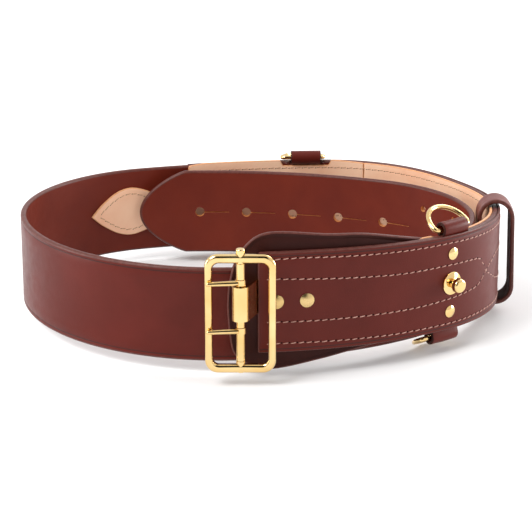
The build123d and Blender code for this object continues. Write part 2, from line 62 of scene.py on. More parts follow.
# The belt's route, the same arcs as the CAD: (radius, turn in degrees).
ROUTE_START = (-4.5, -120.4)
ROUTE_HEADING = 5.0
ARCS = [(224, 30), (92.5, 42.4), (131, 60), (90, 43.5), (440, 16.6), (98.7, 84.3), (127.7, 78.2),
        (195, 42.5), (80, 67), (84, 46.5), (291, 33.5)]
LOOP_ARC = 2

# Half the plain strap's width, and the thickness of each layer.
STRAP_HALF = 28.5
STRAP_THICK = 3.6
FACING_THICK = 1.4
LINING_THICK = 1.6
SAFE_THICK = 2.4

# Stations along the route.
LINING_START = 96.0
FRONT_BOTTOM_DEE_AT = 121.0
FRONT_TOP_DEE_AT = 128.0
FRONT_END_AT = 128.0
LOOP_AT = 212.0
LEVEL_AT = 300.0
LINING_SEAM_AT = 363.0
BACK_DEES_AT = 404.5
SQUARE_END_AT = 482.0
SHOULDER_AT = 486.0

# The lined part's edges at the buckle and at the front dees.
BUCKLE_END_TOP = 40.2
BUCKLE_END_BOTTOM = -19.8
FRONT_TOP = 37.6
FRONT_BOTTOM = -20.9

# The strap's other end, and its holes.
TONGUE_LENGTH = 31.0
HOLE_PITCH = 31.75
FIRST_HOLE_FROM_END = 41.0
KEYHOLES = 5
KEYHOLE_RADIUS = 3.1
SLIT_END = -20.0
PRONG_HOLE_PAIRS = 4
PRONG_HOLE_RADIUS = 2.0
PRONG_HOLE_HEIGHT = 14.2

# Loose loop round the lined part, as radii and heights about its own tilted centre.
LOOP_INNER = 120.3
LOOP_OUTER = 140.7
LOOP_TOP = 32.7
LOOP_BOTTOM = -32.5
LOOP_TOP_ARCH = 11.0
LOOP_BOTTOM_ARCH = 10.5
LOOP_THICK = 2.6
LOOP_WIDTH = 20.0
# The belt's middle comes down by this much between two stations, and the loop leans with it.
LEAN_FROM = 205.0
LEAN_TO = 295.0
LEAN_DROP = 4.4

CHAPE_THICK = 1.9
CHAPE_WIDTH = 20.4

# How finely the meshes are divided.
ROW_PITCH = 3.5
ROUND_STEPS = 4
MIDDLE_COLUMNS = 10


# ---- the route
def trace(arcs):
    """Centre, radius, first heading in radians, first station and length of each arc."""
    x, y = ROUTE_START
    heading, station, traced = radians(ROUTE_HEADING), 0.0, []
    for radius, turn in arcs:
        cx, cy = x - radius * sin(heading), y + radius * cos(heading)
        length = radius * radians(turn)
        traced.append((cx, cy, radius, heading, station, length))
        heading += radians(turn)
        x, y = cx + radius * sin(heading), cy - radius * cos(heading)
        station += length
    return traced, station


ROUTE, ROUTE_LENGTH = trace(ARCS)


def plan(station, depth=0.0):
    """Plan point and heading at a station, depth inside the route."""
    arc = ROUTE[-1]
    for candidate in ROUTE:
        if station <= candidate[4] + candidate[5]:
            arc = candidate
            break
    cx, cy, radius, heading, first, _ = arc
    a = heading + (station - first) / radius
    return cx + (radius - depth) * sin(a), cy - (radius - depth) * cos(a), a


def place(station, depth, height):
    """Point in metres at a station, a depth and a height above the strap's centre line."""
    x, y, _ = plan(station, depth)
    return Vector(((x - ORIGIN[0]) * MM, (y - ORIGIN[1]) * MM, (height + STRAP_MID) * MM))


def bisect(function, target, low, high):
    """Argument at which a rising function reaches the target."""
    for _ in range(40):
        middle = (low + high) / 2
        if function(middle) < target:
            low = middle
        else:
            high = middle
    return (low + high) / 2


def bezier(points, t):
    """Point on a cubic curve."""
    u = 1 - t
    weights = (u ** 3, 3 * u * u * t, 3 * u * t * t, t ** 3)
    return tuple(sum(w * p[i] for w, p in zip(weights, points)) for i in (0, 1))


def bezier_height(points, x):
    """Height of a cubic curve at x."""
    t = bisect(lambda v: bezier(points, v)[0], x, 0.0, 1.0)
    return bezier(points, t)[1]


def smooth(points, steps):
    """Catmull-Rom curve through points."""
    out = []
    for i in range(len(points) - 1):
        p0 = points[max(i - 1, 0)]
        p1, p2 = points[i], points[i + 1]
        p3 = points[min(i + 2, len(points) - 1)]
        for k in range(steps):
            t = k / steps
            out.append(tuple(0.5 * (2 * b + (c - a) * t + (2 * a - 5 * b + 4 * c - d) * t * t
                                    + (3 * b - a - 3 * c + d) * t ** 3)
                             for a, b, c, d in zip(p0, p1, p2, p3)))
    out.append(points[-1])
    return out


def along(points, x):
    """Straight-line reading of a list of points that rise in x."""
    for (x0, y0), (x1, y1) in zip(points, points[1:]):
        if x <= x1:
            return y0 + (y1 - y0) * (x - x0) / (x1 - x0)
    return points[-1][1]


# ---- outlines of the belt's layers, as rows of (station, bottom, top)
def lined_edges(station):
    """Bottom and top of the lined part. Both ease along a cubic curve before and after the front dees."""
    if station >= LEVEL_AT:
        return -STRAP_HALF, STRAP_HALF
    x, y, _ = plan(station)
    if station <= FRONT_END_AT:
        left, right = ROUTE_START[0] - 3, plan(FRONT_END_AT)[0] + 8
        top = ((left, BUCKLE_END_TOP), (left + 45, BUCKLE_END_TOP + 1), (right - 40, FRONT_TOP),
               (right, FRONT_TOP))
        bottom = ((left, BUCKLE_END_BOTTOM), (left + 45, BUCKLE_END_BOTTOM), (right - 40, FRONT_BOTTOM),
                  (right, FRONT_BOTTOM))
        return bezier_height(bottom, x), bezier_height(top, x)
    near, far = plan(FRONT_END_AT)[1] - 8, plan(LEVEL_AT)[1] - 8
    if y >= far:
        return -STRAP_HALF, STRAP_HALF
    top = ((near, FRONT_TOP), (near + 38, FRONT_TOP), (far - 35, STRAP_HALF), (far, STRAP_HALF))
    bottom = ((near, FRONT_BOTTOM), (near + 38, FRONT_BOTTOM), (far - 35, -STRAP_HALF),
              (far, -STRAP_HALF))
    return bezier_height(bottom, y), bezier_height(top, y)


def stations(start, end):
    """Evenly spaced stations, about a row pitch apart."""
    count = max(2, round((end - start) / ROW_PITCH))
    return [start + (end - start) * i / count for i in range(count + 1)]


def lined_rows(start, end):
    """Rows of the lined part."""
    return [(s,) + lined_edges(s) for s in stations(start, end)]


# The leaf's edge to its point, and the step in from the strap's edge to the leaf.
LEAF = smooth([(486.9, 13.0), (489.5, 10.3), (494, 8.5), (500, 8.0), (508, 10.0), (517, 14.2),
               (527, 16.4), (537, 14.4), (547, 8.8), (553, 4.4), (558, 0.0)], 5)
SHOULDER = [(484.9, 28.5), (485.5, 28.1), (485.9, 27.0), (486.1, 23.0), (486.3, 18.0), (486.6, 14.5)]


def leaf_rows():
    """Shoulder and pointed end of a stitched layer."""
    return [(s, -z, z) for s, z in SHOULDER + LEAF]


def tongue_rows():
    """Blunt rounded point at the strap's end."""
    start = ROUTE_LENGTH - TONGUE_LENGTH
    curve = ((start, 0.0), (start + 0.3 * TONGUE_LENGTH, STRAP_HALF * 0.1),
             (ROUTE_LENGTH, STRAP_HALF * 0.5), (ROUTE_LENGTH, STRAP_HALF))
    first, steps = 3, 32
    rows = []
    for k in range(first, steps + 1):
        s, drop = bezier(curve, k / steps)
        rows.append((s, drop - STRAP_HALF, STRAP_HALF - drop))
    return rows


def dipped(rows, at, low_depth, high_depth, wide, narrow):
    """Rows with a shallow cut in each edge round a station, narrow at its floor and wide at its mouth."""
    levels = {row[0]: row[1:] for row in rows}
    first, last = rows[0][0], rows[-1][0]
    for side in (-1, 1):
        for away in (wide, wide - 0.6, narrow + 0.6, narrow):
            s = at + side * away
            if first < s < last:
                levels[s] = (along([(r[0], r[1]) for r in rows], s), along([(r[0], r[2]) for r in rows], s))
    out = []
    for s in sorted(levels):
        low, high = levels[s]
        share = min(1.0, max(0.0, (wide - abs(s - at)) / (wide - narrow)))
        share = share * share * (3 - 2 * share)
        out.append((s, low + share * low_depth, high - share * high_depth))
    return out


def dipped_at_front(rows, top_depth, bottom_depth, wide, narrow):
    """The cuts at the front's two dees."""
    rows = dipped(rows, FRONT_TOP_DEE_AT, 0.0, top_depth, wide, narrow)
    return dipped(rows, FRONT_BOTTOM_DEE_AT, bottom_depth, 0.0, wide, narrow)


# ---- leather layers
def edge_normals(rows, index):
    """Outward normals in station and height along one edge of the rows."""
    sign = 1 if index == 2 else -1
    out = []
    for i, row in enumerate(rows):
        a, b = rows[max(i - 1, 0)], rows[min(i + 1, len(rows) - 1)]
        ds, dz = b[0] - a[0], b[index] - a[index]
        size = sqrt(ds * ds + dz * dz) or 1.0
        out.append((-dz / size * sign, ds / size * sign))
    first, last = rows[0], rows[-1]
    if abs(first[2] - first[1]) < 0.01:
        out[0] = (-1.0, 0.0)
    if abs(last[2] - last[1]) < 0.01:
        out[-1] = (1.0, 0.0)
    return out


def rim_profile(radius):
    """Way in from the edge and drop below the face, round an edge."""
    turns = [pi / 2 * k / ROUND_STEPS for k in range(ROUND_STEPS + 1)]
    return [(radius * (1 - cos(a)), radius * (1 - sin(a))) for a in turns]


def crease_profile(at, depth):
    """The same two values down and up a pressed line."""
    shallow = depth * 0.8
    return [(at - 0.9, 0.0), (at - 0.35, shallow), (at, depth), (at + 0.35, shallow), (at + 0.9, 0.0)]


def capped_rows(rows, rim, caps):
    """(Row, top normal, bottom normal, inset) of each row. A square end is a run of rows round its edge."""
    full = [(row, top, bottom, 0.0)
            for row, top, bottom in zip(rows, edge_normals(rows, 2), edge_normals(rows, 1))]
    if caps[0]:
        s, low, high = full.pop(0)[0]
        full = [((s + way, low, high), (0, 1), (0, -1), drop) for way, drop in rim] + full
    if caps[1]:
        s, low, high = full.pop()[0]
        full += [((s - way, low, high), (0, 1), (0, -1), drop) for way, drop in reversed(rim)]
    return full


def ring_line(capped_row, columns, reach):
    """(Station, height, drop) across a layer at one row, from its top edge to its bottom edge."""
    (s, low, high), top_normal, bottom_normal, inset = capped_row
    half = (high - low) / 2
    spans = []
    for normal, edge in ((top_normal, high), (bottom_normal, low)):
        lean = abs(normal[1]) * (reach + inset)
        scale = min(1.0, half / lean) if lean > 1e-6 else 1.0
        span = []
        for way, drop in columns:
            inward = (way + inset) * scale
            span.append((s - normal[0] * inward, edge - normal[1] * inward, drop))
        spans.append(span)
    upper, lower = spans
    (s0, z0, _), (s1, z1, _) = upper[-1], lower[-1]
    shares = [k / MIDDLE_COLUMNS for k in range(1, MIDDLE_COLUMNS)]
    between = [(s0 + (s1 - s0) * t, z0 + (z1 - z0) * t, 0.0) for t in shares]
    return upper + between + lower[::-1]


def skin(bm, rings, creased, caps):
    """Faces between the rings of a layer, each with its material."""
    count = len(rings[0][0])
    total = len(rings) - 1
    crease_columns = (ROUND_STEPS + 2, ROUND_STEPS + 3) if creased else ()
    for i in range(total):
        (oa, ia), (ob, ib) = rings[i], rings[i + 1]
        ending = (caps[0] and i < ROUND_STEPS) or (caps[1] and i >= total - ROUND_STEPS)
        for j in range(count - 1):
            column = min(j, count - 2 - j)
            rim = ending or column < ROUND_STEPS
            face = bm.faces.new((oa[j], oa[j + 1], ob[j + 1], ob[j]))
            face.material_index = 1 if rim else 3 if column in crease_columns else 0
            face = bm.faces.new((ib[j], ib[j + 1], ia[j + 1], ia[j]))
            face.material_index = 1 if rim else 2
        for quad in ((oa[0], ob[0], ib[0], ia[0]), (ia[-1], ib[-1], ob[-1], oa[-1])):
            bm.faces.new(quad).material_index = 1
    for capped, (outside, inside) in ((caps[0], rings[0]), (caps[1], rings[-1])):
        if capped:
            for j in range(count - 1):
                face = bm.faces.new((outside[j], outside[j + 1], inside[j + 1], inside[j]))
                face.material_index = 1


def layer(name, rows, outer, inner, crease=3.0, groove=0.3, radius=None, caps=(True, True)):
    """Leather layer between two depths, with rounded edges and a creased line inside each edge.

    caps says which ends of the rows are square. Material 0 is the outer face, 1 the cut edges,
    2 the inner face and 3 the crease.
    """
    rim = rim_profile(radius or (inner - outer) * 0.42)
    columns = rim + (crease_profile(crease, groove) if groove else [])
    reach = columns[-1][0] + 0.4
    bm = bmesh.new()
    rings = []
    for row in capped_rows(rows, rim, caps):
        inset = row[3]
        line = ring_line(row, columns, reach)
        outside = [bm.verts.new(place(s, outer + drop + inset, z)) for s, z, drop in line]
        inside = []
        for j, (s, z, drop) in enumerate(line):
            rounded = j < len(rim) or j >= len(line) - len(rim)
            inside.append(bm.verts.new(place(s, inner - (drop if rounded else 0.0) - inset, z)))
        rings.append((outside, inside))
    skin(bm, rings, groove > 0, caps)
    bmesh.ops.remove_doubles(bm, verts=bm.verts, dist=0.004 * MM)
    bmesh.ops.dissolve_degenerate(bm, edges=bm.edges, dist=0.002 * MM)
    return finish_mesh(name, bm, 50)


def finish_mesh(name, bm, angle):
    """Object in the scene from a bmesh, smooth but for edges over the angle in degrees."""
    bmesh.ops.recalc_face_normals(bm, faces=bm.faces)
    mesh = bpy.data.meshes.new(name)
    bm.to_mesh(mesh)
    bm.free()
    for polygon in mesh.polygons:
        polygon.use_smooth = True
    mesh.set_sharp_from_angle(angle=radians(angle))
    obj = bpy.data.objects.new(name, mesh)
    bpy.context.scene.collection.objects.link(obj)
    return obj


# ---- folded strips
def path_normals(path, closed):
    """Unit normals on the right of a path in its plane."""
    count = len(path)
    normals = []
    for i in range(count):
        a = path[(i - 1) % count] if closed else path[max(i - 1, 0)]
        b = path[(i + 1) % count] if closed else path[min(i + 1, count - 1)]
        dx, dz = b[0] - a[0], b[1] - a[1]
        size = sqrt(dx * dx + dz * dz)
        normals.append((dz / size, -dx / size))
    return normals


def strip_section(width, thick, radius):
    """Rounded section of a strip as (across, out, kind): kind 0 is outside, 1 an edge and 2 inside."""
    flat_w, flat_t = width / 2 - radius, thick / 2 - radius
    across = [flat_w * (1 - k / 4) for k in range(1, 8)]
    flats = ([(w, thick / 2, 0) for w in across], [], [(-w, -thick / 2, 2) for w in across], [])
    section = []
    for quarter, (x, y) in enumerate(((1, 1), (-1, 1), (-1, -1), (1, -1))):
        for k in range(4):
            a = pi / 2 * (quarter + k / 3)
            section.append((x * flat_w + radius * cos(a), y * flat_t + radius * sin(a), 1))
        section += flats[quarter]
    return section


def wrap(name, path, closed, thick, width, radius, put):
    """Strip of leather that follows a path in a plane.

    put(a, z, w) places a plane point at w across the strip. Material 0 is outside, 1 the edges, 2 inside.
    """
    section = strip_section(width, thick, radius)
    bm = bmesh.new()
    rings = []
    for (a, z), (na, nz) in zip(path, path_normals(path, closed)):
        rings.append([bm.verts.new(put(a + na * u, z + nz * u, w)) for w, u, _ in section])
    pairs = list(zip(rings, rings[1:]))
    if closed:
        pairs.append((rings[-1], rings[0]))
    for ring, following in pairs:
        for j in range(len(section)):
            k = (j + 1) % len(section)
            face = bm.faces.new((ring[j], ring[k], following[k], following[j]))
            kinds = (section[j][2], section[k][2])
            face.material_index = 0 if 0 in kinds else 2 if 2 in kinds else 1
    if not closed:
        for ring in (rings[0], rings[-1]):
            bm.faces.new(ring).material_index = 1
    return finish_mesh(name, bm, 60)


# ---- holes
def prism(bm, outline, station, front, back):
    """Upright prism through the strap from a flat outline of (along, up) points."""
    ends = []
    for depth in (front, back):
        ends.append([bm.verts.new(place(station + s, depth, z)) for s, z in outline])
    bm.faces.new(ends[0])
    bm.faces.new(ends[1][::-1])
    n = len(outline)
    for i in range(n):
        k = (i + 1) % n
        bm.faces.new((ends[0][k], ends[0][i], ends[1][i], ends[1][k]))


def keyhole_outline():
    """Round hole with a slit on the side away from the strap's end."""
    turns = [radians(a) for a in range(-160, 161, 10)]
    mouth = KEYHOLE_RADIUS - 0.05
    return ([(KEYHOLE_RADIUS * cos(a), KEYHOLE_RADIUS * sin(a)) for a in turns]
            + [(-mouth, 0.3), (SLIT_END, 0.2), (SLIT_END, -0.2), (-mouth, -0.3)])


def prong_hole_outline(height):
    """Round hole at a height."""
    turns = [2 * pi * k / 24 for k in range(24)]
    return [(PRONG_HOLE_RADIUS * cos(a), height + PRONG_HOLE_RADIUS * sin(a)) for a in turns]


def hole_cutter(material):
    """All the holes as solids in one object: the keyholes, then the pairs of prong holes."""
    bm = bmesh.new()
    for index in range(KEYHOLES + PRONG_HOLE_PAIRS):
        station = ROUTE_LENGTH - FIRST_HOLE_FROM_END - index * HOLE_PITCH
        if index < KEYHOLES:
            outlines = [keyhole_outline()]
        else:
            outlines = [prong_hole_outline(z) for z in (PRONG_HOLE_HEIGHT, -PRONG_HOLE_HEIGHT)]
        for outline in outlines:
            prism(bm, outline, station, -1.0, STRAP_THICK + 1)
    cutter = finish_mesh("hole_cutter", bm, 50)
    cutter.data.materials.append(material)
    return cutter


def keep_normals(source, mesh, cut_material):
    """Give the uncut faces the shading they had before the holes were cut."""
    points = [v.co for v in source.vertices]
    tree = BVHTree.FromPolygons(points, [tuple(p.vertices) for p in source.polygons])
    normals = [Vector((0, 0, 0))] * len(mesh.loops)
    for polygon in mesh.polygons:
        if mesh.materials[polygon.material_index] == cut_material:
            continue
        for loop in polygon.loop_indices:
            point = mesh.vertices[mesh.loops[loop].vertex_index].co
            found, _, index, _ = tree.find_nearest(point)
            corners = [source.vertices[v] for v in source.polygons[index].vertices]
            weights = poly_3d_calc([v.co for v in corners], found)
            blended = Vector((0, 0, 0))
            for corner, weight in zip(corners, weights):
                blended += corner.normal * weight
            normals[loop] = blended.normalized()
    mesh.normals_split_custom_set(normals)


def cut_holes(strap, material):
    """Cut the holes through the strap. Their walls take the material."""
    cutter = hole_cutter(material)
    modifier = strap.modifiers.new("holes", "BOOLEAN")
    modifier.object = cutter
    modifier.operation = "DIFFERENCE"
    modifier.solver = "EXACT"
    modifier.material_mode = "TRANSFER"
    depsgraph = bpy.context.evaluated_depsgraph_get()
    mesh = bpy.data.meshes.new_from_object(strap.evaluated_get(depsgraph))
    strap.modifiers.clear()
    uncut = strap.data
    keep_normals(uncut, mesh, material)
    strap.data = mesh
    bpy.data.meshes.remove(uncut)
    mesh.name = "main_strap"
    cutter_mesh = cutter.data
    bpy.data.objects.remove(cutter)
    bpy.data.meshes.remove(cutter_mesh)


# ---- stitches
STITCH_PITCH = 4.6
STITCH_SLANT = radians(9)
LEAF_INSET = 4.0
INSIDE_STITCH = {"length": 3.2, "width": 0.5, "hole": 0.4}

# The four long rows, from the top edge to the bottom edge, as (station, height). The middle two cross.
ROW_1 = [(0, 36.3), (25, 36.8), (60, 35.0), (90, 33.8), (125, 33.1), (160, 31.2), (200, 29.0),
         (250, 26.0), (300, 24.6), (500, 24.5)]
ROW_2 = smooth([(0, 25.0), (24, 24.0), (60, 21.7), (89, 20.0), (120, 19.6), (140, 18.5), (149, 17.0),
                (154, 12.5), (158, 7.2), (163, 4.0), (180, -4.0), (205, -8.0), (260, -9.6),
                (500, -9.6)], 6)
ROW_3 = smooth([(0, -1.0), (24, -1.7), (90, -2.6), (120, -1.6), (140, -0.4), (148, 0.8), (154, 4.0),
                (159, 7.2), (166, 10.2), (180, 13.2), (205, 11.5), (260, 9.6), (500, 9.6)], 6)
ROW_4 = [(0, -14.3), (25, -14.7), (80, -16.5), (125, -17.1), (160, -17.6), (200, -20.0),
         (250, -23.4), (300, -24.5), (500, -24.5)]


def stitch(bm, station, height, lean, depth, side, length=3.4, width=0.62, hole=0.58):
    """One thread lying on a face, with a dark disc of painted shade for the needle hole at its far end.
    side is -1 on the outer face.
    """
    ca, sa = cos(lean), sin(lean)

    def put(a, b, up):
        return place(station + a * ca - b * sa, depth + side * up, height + a * sa + b * ca)

    turns = [2 * pi * k / 8 for k in range(8)]
    rings = []
    for t in (-1.0, -0.85, -0.45, 0.0, 0.45, 0.85, 1.0):
        fat = sqrt(1 - t ** 4) * 0.9 + 0.1
        lift = 0.18 * (1 - t * t) - 0.12
        middle = t * length / 2
        rings.append([bm.verts.new(put(middle, cos(a) * width / 2 * fat, lift + sin(a) * 0.28 * fat))
                      for a in turns])
    for a, b in zip(rings, rings[1:]):
        for k in range(8):
            bm.faces.new((a[k], a[(k + 1) % 8], b[(k + 1) % 8], b[k]))
    bm.faces.new(rings[0])
    bm.faces.new(rings[-1])
    centre = length / 2 + hole
    # The needle hole is a flat dark disc on the face: painted shade.
    disc = [bm.verts.new(put(centre + hole * cos(a), hole * 0.8 * sin(a), 0.04)) for a in turns]
    bm.faces.new(disc).material_index = 1


def stitch_row(bm, row, start, depth, side, **sizes):
    """Stitches along one long row, each a little aslant."""
    for i in range(int((SQUARE_END_AT - start) / STITCH_PITCH)):
        s = start + (i + 0.5) * STITCH_PITCH
        slope = atan2(along(row, s + 1) - along(row, s - 1), 2)
        stitch(bm, s, along(row, s), slope - side * STITCH_SLANT, depth, side, **sizes)


def leaf_line():
    """The leaf's outline drawn in by the inset, upper side, as (station, height)."""
    rows = [(s, -z, z) for s, z in LEAF]
    normals = edge_normals(rows, 2)
    line = [(row[0] - n[0] * LEAF_INSET, row[2] - n[1] * LEAF_INSET) for row, n in zip(rows, normals)]
    return [p for p in line if p[1] > 0.2 and p[0] < LEAF[-1][0] - LEAF_INSET * 1.2]


def leaf_stitches(bm, depth, side, **sizes):
    """Stitches round the leaf's two sides."""
    line = leaf_line()
    for sign in (1, -1):
        travelled, wanted = 0.0, STITCH_PITCH / 2
        for (s0, z0), (s1, z1) in zip(line, line[1:]):
            step = sqrt((s1 - s0) ** 2 + (z1 - z0) ** 2)
            lean = atan2((z1 - z0) * sign, s1 - s0) - side * STITCH_SLANT
            while travelled + step >= wanted:
                t = (wanted - travelled) / step
                s, z = s0 + (s1 - s0) * t, z0 + (z1 - z0) * t
                stitch(bm, s, z * sign, lean, depth, side, **sizes)
                wanted += STITCH_PITCH
            travelled += step


def stitches(name, start, depth, side, **sizes):
    """All the stitches on one face of the lined part."""
    bm = bmesh.new()
    for row in (ROW_1, ROW_2, ROW_3, ROW_4):
        stitch_row(bm, row, start, depth, side, **sizes)
    leaf_stitches(bm, depth, side, **sizes)
    return finish_mesh(name, bm, 60)


# ---- materials
def rgb(code):
    """Linear colour of a web colour."""
    out = []
    for i in (0, 2, 4):
        c = int(code[i:i + 2], 16) / 255
        out.append(c / 12.92 if c <= 0.04045 else ((c + 0.055) / 1.055) ** 2.4)
    return tuple(out) + (1.0,)


class Shader:
    """A principled material with helpers for its node tree."""

    def __init__(self, name):
        self.material = bpy.data.materials.new(name)
        self.material.use_nodes = True
        self.nodes = self.material.node_tree.nodes
        self.links = self.material.node_tree.links
        self.main = self.nodes["Principled BSDF"]
        coords = self.nodes.new("ShaderNodeTexCoord")
        self.coords = coords.outputs["Object"]

    def set(self, **values):
        for key, value in values.items():
            self.main.inputs[key.replace("_", " ")].default_value = value
        return self

    def noise(self, scale, detail=3.0, roughness=0.5, distortion=0.0):
        node = self.nodes.new("ShaderNodeTexNoise")
        node.inputs["Scale"].default_value = scale
        node.inputs["Detail"].default_value = detail
        node.inputs["Roughness"].default_value = roughness
        node.inputs["Distortion"].default_value = distortion
        self.links.new(self.coords, node.inputs["Vector"])
        return node.outputs["Fac"]

    def voronoi(self, scale, feature="F1"):
        node = self.nodes.new("ShaderNodeTexVoronoi")
        node.feature = feature
        node.inputs["Scale"].default_value = scale
        self.links.new(self.coords, node.inputs["Vector"])
        return node.outputs["Distance"]

    def ramp(self, value, *stops):
        node = self.nodes.new("ShaderNodeValToRGB")
        elements = node.color_ramp.elements
        while len(elements) < len(stops):
            elements.new(0.5)
        for element, (at, colour) in zip(elements, stops):
            element.position = at
            element.color = colour
        self.links.new(value, node.inputs["Fac"])
        return node.outputs["Color"]

    def span(self, value, low, high):
        node = self.nodes.new("ShaderNodeMapRange")
        node.inputs["From Min"].default_value = 0.3
        node.inputs["From Max"].default_value = 0.7
        node.inputs["To Min"].default_value = low
        node.inputs["To Max"].default_value = high
        self.links.new(value, node.inputs["Value"])
        return node.outputs["Result"]

    def bump(self, height, distance, strength, under=None):
        node = self.nodes.new("ShaderNodeBump")
        node.inputs["Distance"].default_value = distance
        node.inputs["Strength"].default_value = strength
        self.links.new(height, node.inputs["Height"])
        if under is not None:
            self.links.new(under, node.inputs["Normal"])
        return node.outputs["Normal"]

    def feed(self, output, socket):
        self.links.new(output, self.main.inputs[socket])


def leather(name, dark, light, low, high, grain=0.3, specular=0.3, sheen=0.0, mottle=28.0, pores=1500.0):
    """Finished leather: near-even colour, uneven gloss and a fine grain."""
    s = Shader(name)
    s.set(Sheen_Weight=sheen, Sheen_Roughness=0.25, Specular_IOR_Level=specular)
    s.feed(s.ramp(s.noise(mottle, 4.0, 0.55, 0.3), (0.3, rgb(dark)), (0.72, rgb(light))), "Base Color")
    s.feed(s.span(s.noise(180.0, 4.0), low, high), "Roughness")
    broad = s.bump(s.noise(120.0, 3.0), 0.0004, grain * 0.4)
    s.feed(s.bump(s.voronoi(pores), 0.0001, grain, broad), "Normal")
    return s.material


def cut_edge(name, dark, light, specular=0.4):
    """Burnished or raw cut edge, with streaks along the layers."""
    s = Shader(name)
    s.set(Specular_IOR_Level=specular)
    s.feed(s.ramp(s.noise(420.0, 6.0, 0.65), (0.3, rgb(dark)), (0.72, rgb(light))), "Base Color")
    s.feed(s.span(s.noise(300.0, 3.0), 0.34, 0.5), "Roughness")
    s.feed(s.bump(s.noise(1400.0, 4.0), 0.00015, 0.3), "Normal")
    return s.material


def brass(name, dark, light, low, high):
    """Brass with faint wear in its gloss."""
    s = Shader(name)
    s.set(Metallic=1.0)
    s.feed(s.ramp(s.noise(45.0, 3.0), (0.3, rgb(dark)), (0.75, rgb(light))), "Base Color")
    s.feed(s.span(s.noise(160.0, 4.0), low, high), "Roughness")
    s.feed(s.bump(s.noise(60.0, 2.0), 0.0003, 0.06), "Normal")
    return s.material


def thread(name, dark, light):
    """Waxed thread with a fine twist."""
    s = Shader(name)
    s.set(Sheen_Weight=0.2, Specular_IOR_Level=0.3)
    s.feed(s.ramp(s.noise(900.0, 3.0), (0.3, rgb(dark)), (0.7, rgb(light))), "Base Color")
    s.feed(s.span(s.noise(600.0), 0.5, 0.7), "Roughness")
    s.feed(s.bump(s.noise(2600.0, 2.0), 0.0001, 0.6), "Normal")
    return s.material


def matt(name, scale, first, second, specular):
    """Rough studio surface."""
    s = Shader(name)
    s.feed(s.ramp(s.noise(scale), (0.0, first), (1.0, second)), "Base Color")
    s.set(Roughness=0.9, Specular_IOR_Level=specular)
    return s.material


BROWN = leather("brown_leather", "541a12", "5e1f17", 0.34, 0.44, specular=0.16, sheen=0.14)
BROWN_INSIDE = leather("brown_leather_inside", "5f1c0e", "6e2412", 0.44, 0.56, grain=0.4, specular=0.2)
# Near-black brown: painted shade on the chapes' cut edges, and the colour given to the safe's face and
# crease.
NEAR_BLACK_AND_SHADE = leather("dark_leather", "2b100c", "3a1813", 0.4, 0.52, specular=0.12)
# The pressed crease's darker colour is painted shade in its groove.
CREASE_SHADE = leather("pressed_crease", "33110c", "421711", 0.4, 0.5, specular=0.25)
BROWN_EDGE = cut_edge("brown_edge", "4a221b", "67362e", specular=0.3)
TAN = leather("tan_lining", "ecb592", "f8d0b0", 0.46, 0.58, grain=0.2, specular=0.253)
TAN_EDGE = cut_edge("tan_edge", "cf8a58", "e8ae80")
RAW = cut_edge("raw_hole_leather", "a8602c", "d8965a", specular=0.2)
LOOP_OUT = leather("loop_leather", "5e231c", "6e2e26", 0.34, 0.46, specular=0.3)
# The loop's rough flesh side. Its dark colour is painted shade from the gap round the belt.
LOOP_FLESH_SHADE = leather("loop_flesh_side", "3a1d17", "4e2a20", 0.6, 0.8, grain=0.8, specular=0.08, pores=900.0)
BRASS = brass("polished_brass", "dfb977", "efd39b", 0.06, 0.12)
SATIN_BRASS = brass("satin_brass", "c5a468", "dcc08a", 0.24, 0.34)
THREAD = thread("thread", "a07264", "c69b8c")
THREAD_IN = thread("thread_inside", "a57a5a", "c79d7d")
# Near-black discs at the stitch ends: painted shade of the needle holes.
NEEDLE_HOLE_SHADE = cut_edge("needle_hole", "140705", "220e0a", specular=0.05)


def dress(obj, body, node, slot_name, *materials):
    """Materials, body and, for a piece that stands for a CAD node, that node hidden."""
    for material in materials:
        obj.data.materials.append(material)
    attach(obj, body)
    if node:
        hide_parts(node)


# ---- leather pieces
def build_strap():
    """The long strap, with its holes."""
    lined = dipped_at_front(lined_rows(0.0, LEVEL_AT), 1.2, 0.6, 11.2, 10.4)
    level = [(s, -STRAP_HALF, STRAP_HALF) for s in stations(LEVEL_AT, ROUTE_LENGTH - TONGUE_LENGTH)]
    level = dipped(level[1:], BACK_DEES_AT, 1.2, 1.2, 11.2, 10.4)
    strap = layer("main_strap", lined + level + tongue_rows(), 0.0, STRAP_THICK, caps=(True, False))
    for material in (BROWN, BROWN_EDGE, BROWN_INSIDE, CREASE_SHADE):
        strap.data.materials.append(material)
    cut_holes(strap, RAW)
    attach(strap, "belt")
    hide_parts("main_strap")


def build_facing():
    """The stitched outer layer, which ends in the leaf."""
    rows = lined_rows(0.0, SQUARE_END_AT) + leaf_rows()
    facing = layer("belt_facing", rows, -FACING_THICK, 0.0, crease=2.0, groove=0.18, radius=0.55,
                   caps=(True, False))
    dress(facing, "belt", "belt_facing", "strap_leather", BROWN, BROWN_EDGE, BROWN, CREASE_SHADE)


def raised(rows):
    """The lining stands a little above the other layers round the back of the coil."""
    start, height = 364.0, 1.4
    course = [(start, 0.0), (388.0, height), (SHOULDER_AT - 12, height), (SHOULDER_AT, 0.0)]
    return [(s, low, high + (along(course, s) if s > start else 0.0)) for s, low, high in rows]


def build_lining():
    """The tan lining, in two lengths that meet at a seam."""
    outer, inner, gap = STRAP_THICK, STRAP_THICK + LINING_THICK, 0.1
    front = raised(lined_rows(LINING_START, LINING_SEAM_AT - gap))
    front = dipped_at_front(front, 2.2, 2.2, 17.0, 12.0)
    back = raised(lined_rows(LINING_SEAM_AT + gap, SQUARE_END_AT))
    back = dipped(back, BACK_DEES_AT, 2.2, 0.0, 17.0, 12.0)
    back = dipped(back, BACK_DEES_AT, 0.0, 3.8, 18.0, 15.5) + leaf_rows()
    for name, rows, square_end in (("lining_front", front, True), ("lining_back", back, False)):
        piece = layer(name, rows, outer, inner, groove=0.0, radius=0.5, caps=(True, square_end))
        dress(piece, "belt", name, "lining_leather", TAN, TAN_EDGE, TAN)


